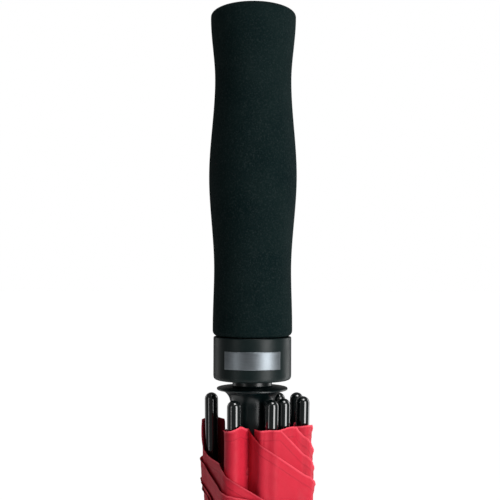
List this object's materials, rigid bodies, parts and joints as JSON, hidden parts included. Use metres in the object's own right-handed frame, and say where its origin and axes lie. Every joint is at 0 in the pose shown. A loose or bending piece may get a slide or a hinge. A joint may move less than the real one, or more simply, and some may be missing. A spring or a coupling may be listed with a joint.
{
  "type": "golf umbrella",
  "caption": "Long automatic golf umbrella, closed and wrapped, with a waisted foam grip, push button, sliding runner, hinged ribs and cloth canopy.",
  "frame": {"origin": "centre of the ferrule's end face, on the shaft axis", "axes": "+Z along the shaft from the ferrule to the handle, -Y towards the side with the label plate, +X to the right of it"},
  "size_m": [0.057, 0.0573, 1.007],
  "materials": {
    "shaft_tube": "black satin paint on steel",
    "ferrule": "moulded plastic, black",
    "crown": "moulded nylon, black",
    "runner": "satin black nylon",
    "grip_foam": "fine matte EVA foam, black",
    "handle_core": "satin black plastic",
    "label_plate": "brushed, vertical sheen",
    "push_button": "moulded plastic, black",
    "latch": "stamped",
    "drive_spring": "wire",
    "end_plug": "satin dark grey plastic",
    "strap_cloth": "woven polyester",
    "rib_fibreglass": "pultruded fibreglass, black",
    "rib_tip": "glossy black plastic",
    "stretcher": "black painted steel",
    "canopy_cloth": "plain weave polyester, red"
  },
  "bodies": {
    "shaft": {"shaft_tube": "shaft_tube", "ferrule": "ferrule", "crown": "crown", "grip_foam": "grip_foam", "handle_core": "handle_core", "label_plate": "label_plate", "end_plug": "end_plug", "drive_spring": "drive_spring"},
    "runner": {"runner": "runner"},
    "push_button": {"push_button": "push_button"},
    "latch": {"latch": "latch"},
    "rib_inner_1": {"rib_inner_1": "rib_fibreglass"},
    "rib_outer_1": {"rib_outer_1": "rib_fibreglass", "rib_tip_1": "rib_tip"},
    "stretcher_1": {"stretcher_1": "stretcher"},
    "canopy_panel_1": {"canopy_panel_1": "canopy_cloth"},
    "canopy_hem_1": {"canopy_hem_1": "canopy_cloth", "tie_strap": "strap_cloth"},
    "rib_inner_2": {"rib_inner_2": "rib_fibreglass"},
    "rib_outer_2": {"rib_outer_2": "rib_fibreglass", "rib_tip_2": "rib_tip"},
    "stretcher_2": {"stretcher_2": "stretcher"},
    "canopy_panel_2": {"canopy_panel_2": "canopy_cloth"},
    "canopy_hem_2": {"canopy_hem_2": "canopy_cloth"},
    "rib_inner_3": {"rib_inner_3": "rib_fibreglass"},
    "rib_outer_3": {"rib_outer_3": "rib_fibreglass", "rib_tip_3": "rib_tip"},
    "stretcher_3": {"stretcher_3": "stretcher"},
    "canopy_panel_3": {"canopy_panel_3": "canopy_cloth"},
    "canopy_hem_3": {"canopy_hem_3": "canopy_cloth"},
    "rib_inner_4": {"rib_inner_4": "rib_fibreglass"},
    "rib_outer_4": {"rib_outer_4": "rib_fibreglass", "rib_tip_4": "rib_tip"},
    "stretcher_4": {"stretcher_4": "stretcher"},
    "canopy_panel_4": {"canopy_panel_4": "canopy_cloth"},
    "canopy_hem_4": {"canopy_hem_4": "canopy_cloth"},
    "rib_inner_5": {"rib_inner_5": "rib_fibreglass"},
    "rib_outer_5": {"rib_outer_5": "rib_fibreglass", "rib_tip_5": "rib_tip"},
    "stretcher_5": {"stretcher_5": "stretcher"},
    "canopy_panel_5": {"canopy_panel_5": "canopy_cloth"},
    "canopy_hem_5": {"canopy_hem_5": "canopy_cloth"},
    "rib_inner_6": {"rib_inner_6": "rib_fibreglass"},
    "rib_outer_6": {"rib_outer_6": "rib_fibreglass", "rib_tip_6": "rib_tip"},
    "stretcher_6": {"stretcher_6": "stretcher"},
    "canopy_panel_6": {"canopy_panel_6": "canopy_cloth"},
    "canopy_hem_6": {"canopy_hem_6": "canopy_cloth"},
    "rib_inner_7": {"rib_inner_7": "rib_fibreglass"},
    "rib_outer_7": {"rib_outer_7": "rib_fibreglass", "rib_tip_7": "rib_tip"},
    "stretcher_7": {"stretcher_7": "stretcher"},
    "canopy_panel_7": {"canopy_panel_7": "canopy_cloth"},
    "canopy_hem_7": {"canopy_hem_7": "canopy_cloth"},
    "rib_inner_8": {"rib_inner_8": "rib_fibreglass"},
    "rib_outer_8": {"rib_outer_8": "rib_fibreglass", "rib_tip_8": "rib_tip"},
    "stretcher_8": {"stretcher_8": "stretcher"},
    "canopy_panel_8": {"canopy_panel_8": "canopy_cloth"},
    "canopy_hem_8": {"canopy_hem_8": "canopy_cloth"}
  },
  "joints": [
    {"name": "runner_slide", "type": "slide", "parent": "shaft", "child": "runner", "axis": [0, 0, -1], "range_m": [0, 0.4861], "deforming": ["drive_spring", "canopy_panel_1", "canopy_hem_1", "canopy_panel_2", "canopy_hem_2", "canopy_panel_3", "canopy_hem_3", "canopy_panel_4", "canopy_hem_4", "canopy_panel_5", "canopy_hem_5", "canopy_panel_6", "canopy_hem_6", "canopy_panel_7", "canopy_hem_7", "canopy_panel_8", "canopy_hem_8", "tie_strap"]},
    {"name": "rib_1_pivot", "type": "hinge", "parent": "shaft", "child": "rib_inner_1", "pos_m": [-0.00848, -0.00701, 0.088], "axis": [0.6366, -0.7711, -0.0097], "range_deg": [0, 83.57]},
    {"name": "rib_2_pivot", "type": "hinge", "parent": "shaft", "child": "rib_inner_2", "pos_m": [-0.00104, -0.01095, 0.088], "axis": [0.9953, -0.0955, -0.0138], "range_deg": [0, 83.92]},
    {"name": "rib_3_pivot", "type": "hinge", "parent": "shaft", "child": "rib_inner_3", "pos_m": [0.00701, -0.00848, 0.088], "axis": [0.771, 0.6367, -0.0082], "range_deg": [0, 83.67]},
    {"name": "rib_4_pivot", "type": "hinge", "parent": "shaft", "child": "rib_inner_4", "pos_m": [0.01095, -0.00104, 0.088], "axis": [0.0944, 0.9955, -0.0031], "range_deg": [0, 83.02]},
    {"name": "rib_5_pivot", "type": "hinge", "parent": "shaft", "child": "rib_inner_5", "pos_m": [0.00848, 0.00701, 0.088], "axis": [-0.6377, 0.7702, 0.004], "range_deg": [0, 82.87]},
    {"name": "rib_6_pivot", "type": "hinge", "parent": "shaft", "child": "rib_inner_6", "pos_m": [0.00104, 0.01095, 0.088], "axis": [-0.9956, 0.0925, 0.0155], "range_deg": [0, 83.68]},
    {"name": "rib_7_pivot", "type": "hinge", "parent": "shaft", "child": "rib_inner_7", "pos_m": [-0.00701, 0.00848, 0.088], "axis": [-0.7695, -0.6385, 0.0134], "range_deg": [0, 83.57]},
    {"name": "rib_8_pivot", "type": "hinge", "parent": "shaft", "child": "rib_inner_8", "pos_m": [-0.01095, 0.00104, 0.088], "axis": [-0.0925, -0.9956, 0.0152], "range_deg": [0, 83.24]},
    {"name": "rib_1_flex", "type": "hinge", "parent": "rib_inner_1", "child": "rib_outer_1", "pos_m": [-0.00835, -0.01106, 0.418], "axis": [-0.6441, 0.7649, 0.0096], "range_deg": [0, 30.01]},
    {"name": "rib_2_flex", "type": "hinge", "parent": "rib_inner_2", "child": "rib_outer_2", "pos_m": [0.00344, -0.01187, 0.418], "axis": [-0.9966, 0.0817, 0.0138], "range_deg": [0, 30]},
    {"name": "rib_3_flex", "type": "hinge", "parent": "rib_inner_3", "child": "rib_outer_3", "pos_m": [0.01034, -0.00826, 0.418], "axis": [-0.7658, -0.6431, 0.0081], "range_deg": [0, 30]},
    {"name": "rib_4_flex", "type": "hinge", "parent": "rib_inner_4", "child": "rib_outer_4", "pos_m": [0.0167, -0.00057, 0.418], "axis": [-0.0914, -0.9958, 0.003], "range_deg": [0, 30]},
    {"name": "rib_5_flex", "type": "hinge", "parent": "rib_inner_5", "child": "rib_outer_5", "pos_m": [0.01435, 0.01016, 0.418], "axis": [0.6346, -0.7728, -0.0039], "range_deg": [0, 30.01]},
    {"name": "rib_6_flex", "type": "hinge", "parent": "rib_inner_6", "child": "rib_outer_6", "pos_m": [0.00629, 0.01233, 0.418], "axis": [0.994, -0.108, -0.0154], "range_deg": [0, 30]},
    {"name": "rib_7_flex", "type": "hinge", "parent": "rib_inner_7", "child": "rib_outer_7", "pos_m": [-0.0052, 0.01322, 0.418], "axis": [0.7781, 0.628, -0.0133], "range_deg": [0, 30.01]},
    {"name": "rib_8_flex", "type": "hinge", "parent": "rib_inner_8", "child": "rib_outer_8", "pos_m": [-0.01485, 0.00643, 0.418], "axis": [0.1077, 0.9941, -0.015], "range_deg": [0, 30]},
    {"name": "stretcher_1_pivot", "type": "hinge", "parent": "rib_inner_1", "child": "stretcher_1", "pos_m": [-0.00624, -0.00827, 0.412], "axis": [-0.6605, 0.7508, -0.0067], "range_deg": [0, 147.24]},
    {"name": "stretcher_2_pivot", "type": "hinge", "parent": "rib_inner_2", "child": "stretcher_2", "pos_m": [0.00247, -0.00851, 0.412], "axis": [-0.9986, 0.0516, -0.0094], "range_deg": [0, 147.85]},
    {"name": "stretcher_3_pivot", "type": "hinge", "parent": "rib_inner_3", "child": "stretcher_3", "pos_m": [0.00761, -0.00608, 0.412], "axis": [-0.754, -0.6568, -0.0056], "range_deg": [0, 147.43]},
    {"name": "stretcher_4_pivot", "type": "hinge", "parent": "rib_inner_4", "child": "stretcher_4", "pos_m": [0.0132, -0.00045, 0.412], "axis": [-0.0845, -0.9964, -0.0022], "range_deg": [0, 146.21]},
    {"name": "stretcher_5_pivot", "type": "hinge", "parent": "rib_inner_5", "child": "stretcher_5", "pos_m": [0.01149, 0.00814, 0.412], "axis": [0.6277, -0.7785, 0.0028], "range_deg": [0, 145.93]},
    {"name": "stretcher_6_pivot", "type": "hinge", "parent": "rib_inner_6", "child": "stretcher_6", "pos_m": [0.0047, 0.00921, 0.412], "axis": [0.9898, -0.1424, 0.0108], "range_deg": [0, 147.39]},
    {"name": "stretcher_7_pivot", "type": "hinge", "parent": "rib_inner_7", "child": "stretcher_7", "pos_m": [-0.00392, 0.00996, 0.412], "axis": [0.7966, 0.6044, 0.0093], "range_deg": [0, 147.2]},
    {"name": "stretcher_8_pivot", "type": "hinge", "parent": "rib_inner_8", "child": "stretcher_8", "pos_m": [-0.01164, 0.00504, 0.412], "axis": [0.1419, 0.9898, 0.0107], "range_deg": [0, 146.56]},
    {"name": "canopy_panel_1_turn", "type": "hinge", "parent": "rib_inner_1", "child": "canopy_panel_1", "pos_m": [0.01788, 0.034, 0.04588], "axis": [0.3574, 0.6784, -0.6419], "range_deg": [0, 59.17]},
    {"name": "canopy_panel_2_turn", "type": "hinge", "parent": "rib_inner_2", "child": "canopy_panel_2", "pos_m": [-0.01194, 0.03643, 0.04697], "axis": [-0.2381, 0.7372, -0.6323], "range_deg": [0, 59.27]},
    {"name": "canopy_panel_3_turn", "type": "hinge", "parent": "rib_inner_3", "child": "canopy_panel_3", "pos_m": [-0.03428, 0.01713, 0.04727], "axis": [-0.6929, 0.3511, -0.6298], "range_deg": [0, 59]},
    {"name": "canopy_panel_4_turn", "type": "hinge", "parent": "rib_inner_4", "child": "canopy_panel_4", "pos_m": [-0.03654, -0.01139, 0.04778], "axis": [-0.7453, -0.2315, -0.6253], "range_deg": [0, 58.78]},
    {"name": "canopy_panel_5_turn", "type": "hinge", "parent": "rib_inner_5", "child": "canopy_panel_5", "pos_m": [-0.01897, -0.03321, 0.04806], "axis": [-0.3829, -0.6824, -0.6227], "range_deg": [0, 59.02]},
    {"name": "canopy_panel_6_turn", "type": "hinge", "parent": "rib_inner_6", "child": "canopy_panel_6", "pos_m": [0.01085, -0.03683, 0.04621], "axis": [0.2195, -0.7372, -0.6391], "range_deg": [0, 59.11]},
    {"name": "canopy_panel_7_turn", "type": "hinge", "parent": "rib_inner_7", "child": "canopy_panel_7", "pos_m": [0.0338, -0.01814, 0.04682], "axis": [0.6821, -0.3649, -0.6337], "range_deg": [0, 59.01]},
    {"name": "canopy_panel_8_turn", "type": "hinge", "parent": "rib_inner_8", "child": "canopy_panel_8", "pos_m": [0.03692, 0.01086, 0.04374], "axis": [0.7197, 0.2139, -0.6605], "range_deg": [0, 58.84]},
    {"name": "canopy_hem_1_turn", "type": "hinge", "parent": "rib_outer_1", "child": "canopy_hem_1", "pos_m": [0.00105, 0.00207, 0.00485], "axis": [0.4279, 0.7946, -0.4308], "range_deg": [0, 39.74]},
    {"name": "canopy_hem_2_turn", "type": "hinge", "parent": "rib_outer_2", "child": "canopy_hem_2", "pos_m": [-0.00158, 0.00239, 0.00604], "axis": [-0.2748, 0.8674, -0.4149], "range_deg": [0, 40.02]},
    {"name": "canopy_hem_3_turn", "type": "hinge", "parent": "rib_outer_3", "child": "canopy_hem_3", "pos_m": [-0.00279, 0.00021, 0.00571], "axis": [-0.8126, 0.412, -0.4121], "range_deg": [0, 39.7]},
    {"name": "canopy_hem_4_turn", "type": "hinge", "parent": "rib_outer_4", "child": "canopy_hem_4", "pos_m": [-0.00234, -0.00091, 0.00564], "axis": [-0.8724, -0.272, -0.406], "range_deg": [0, 39.47]},
    {"name": "canopy_hem_5_turn", "type": "hinge", "parent": "rib_outer_5", "child": "canopy_hem_5", "pos_m": [-0.00262, -0.00176, 0.00643], "axis": [-0.4467, -0.7999, -0.4008], "range_deg": [0, 39.83]},
    {"name": "canopy_hem_6_turn", "type": "hinge", "parent": "rib_outer_6", "child": "canopy_hem_6", "pos_m": [0.00023, -0.0024, 0.00501], "axis": [0.2663, -0.8644, -0.4265], "range_deg": [0, 39.71]},
    {"name": "canopy_hem_7_turn", "type": "hinge", "parent": "rib_outer_7", "child": "canopy_hem_7", "pos_m": [0.00209, -0.0013, 0.00533], "axis": [0.8053, -0.42, -0.4184], "range_deg": [0, 39.65]},
    {"name": "canopy_hem_8_turn", "type": "hinge", "parent": "rib_outer_8", "child": "canopy_hem_8", "pos_m": [0.00122, -0.00027, 0.0021], "axis": [0.8494, 0.2524, -0.4634], "range_deg": [0, 39.01]},
    {"name": "button_push", "type": "slide", "parent": "shaft", "child": "push_button", "axis": [0, -1, 0], "range_m": [0, 0.00135], "stiffness_N_per_m": 600, "springref_m": -0.002},
    {"name": "latch_slide", "type": "slide", "parent": "shaft", "child": "latch", "axis": [0, -1, 0], "range_m": [0, 0.00135]}
  ],
  "couplings": [
    {"joint": "rib_1_pivot", "follows": "runner_slide", "rad_per_m": 3.0005},
    {"joint": "rib_2_pivot", "follows": "runner_slide", "rad_per_m": 3.0129},
    {"joint": "rib_3_pivot", "follows": "runner_slide", "rad_per_m": 3.0038},
    {"joint": "rib_4_pivot", "follows": "runner_slide", "rad_per_m": 2.9806},
    {"joint": "rib_5_pivot", "follows": "runner_slide", "rad_per_m": 2.9753},
    {"joint": "rib_6_pivot", "follows": "runner_slide", "rad_per_m": 3.0044},
    {"joint": "rib_7_pivot", "follows": "runner_slide", "rad_per_m": 3.0004},
    {"joint": "rib_8_pivot", "follows": "runner_slide", "rad_per_m": 2.9887},
    {"joint": "rib_1_flex", "follows": "runner_slide", "rad_per_m": 1.0771},
    {"joint": "rib_2_flex", "follows": "runner_slide", "rad_per_m": 1.0771},
    {"joint": "rib_3_flex", "follows": "runner_slide", "rad_per_m": 1.0771},
    {"joint": "rib_4_flex", "follows": "runner_slide", "rad_per_m": 1.0771},
    {"joint": "rib_5_flex", "follows": "runner_slide", "rad_per_m": 1.0771},
    {"joint": "rib_6_flex", "follows": "runner_slide", "rad_per_m": 1.0771},
    {"joint": "rib_7_flex", "follows": "runner_slide", "rad_per_m": 1.0771},
    {"joint": "rib_8_flex", "follows": "runner_slide", "rad_per_m": 1.0771},
    {"joint": "stretcher_1_pivot", "follows": "runner_slide", "rad_per_m": 5.2866},
    {"joint": "stretcher_2_pivot", "follows": "runner_slide", "rad_per_m": 5.3085},
    {"joint": "stretcher_3_pivot", "follows": "runner_slide", "rad_per_m": 5.2934},
    {"joint": "stretcher_4_pivot", "follows": "runner_slide", "rad_per_m": 5.2496},
    {"joint": "stretcher_5_pivot", "follows": "runner_slide", "rad_per_m": 5.2393},
    {"joint": "stretcher_6_pivot", "follows": "runner_slide", "rad_per_m": 5.2917},
    {"joint": "stretcher_7_pivot", "follows": "runner_slide", "rad_per_m": 5.2851},
    {"joint": "stretcher_8_pivot", "follows": "runner_slide", "rad_per_m": 5.262},
    {"joint": "canopy_panel_1_turn", "follows": "runner_slide", "rad_per_m": 2.1242},
    {"joint": "canopy_panel_2_turn", "follows": "runner_slide", "rad_per_m": 2.1278},
    {"joint": "canopy_panel_3_turn", "follows": "runner_slide", "rad_per_m": 2.1183},
    {"joint": "canopy_panel_4_turn", "follows": "runner_slide", "rad_per_m": 2.1104},
    {"joint": "canopy_panel_5_turn", "follows": "runner_slide", "rad_per_m": 2.1188},
    {"joint": "canopy_panel_6_turn", "follows": "runner_slide", "rad_per_m": 2.122},
    {"joint": "canopy_panel_7_turn", "follows": "runner_slide", "rad_per_m": 2.1185},
    {"joint": "canopy_panel_8_turn", "follows": "runner_slide", "rad_per_m": 2.1124},
    {"joint": "canopy_hem_1_turn", "follows": "runner_slide", "rad_per_m": 1.4267},
    {"joint": "canopy_hem_2_turn", "follows": "runner_slide", "rad_per_m": 1.4368},
    {"joint": "canopy_hem_3_turn", "follows": "runner_slide", "rad_per_m": 1.4253},
    {"joint": "canopy_hem_4_turn", "follows": "runner_slide", "rad_per_m": 1.4171},
    {"joint": "canopy_hem_5_turn", "follows": "runner_slide", "rad_per_m": 1.4298},
    {"joint": "canopy_hem_6_turn", "follows": "runner_slide", "rad_per_m": 1.4254},
    {"joint": "canopy_hem_7_turn", "follows": "runner_slide", "rad_per_m": 1.4236},
    {"joint": "canopy_hem_8_turn", "follows": "runner_slide", "rad_per_m": 1.4004},
    {"joint": "latch_slide", "follows": "button_push", "ratio": 1}
  ]
}
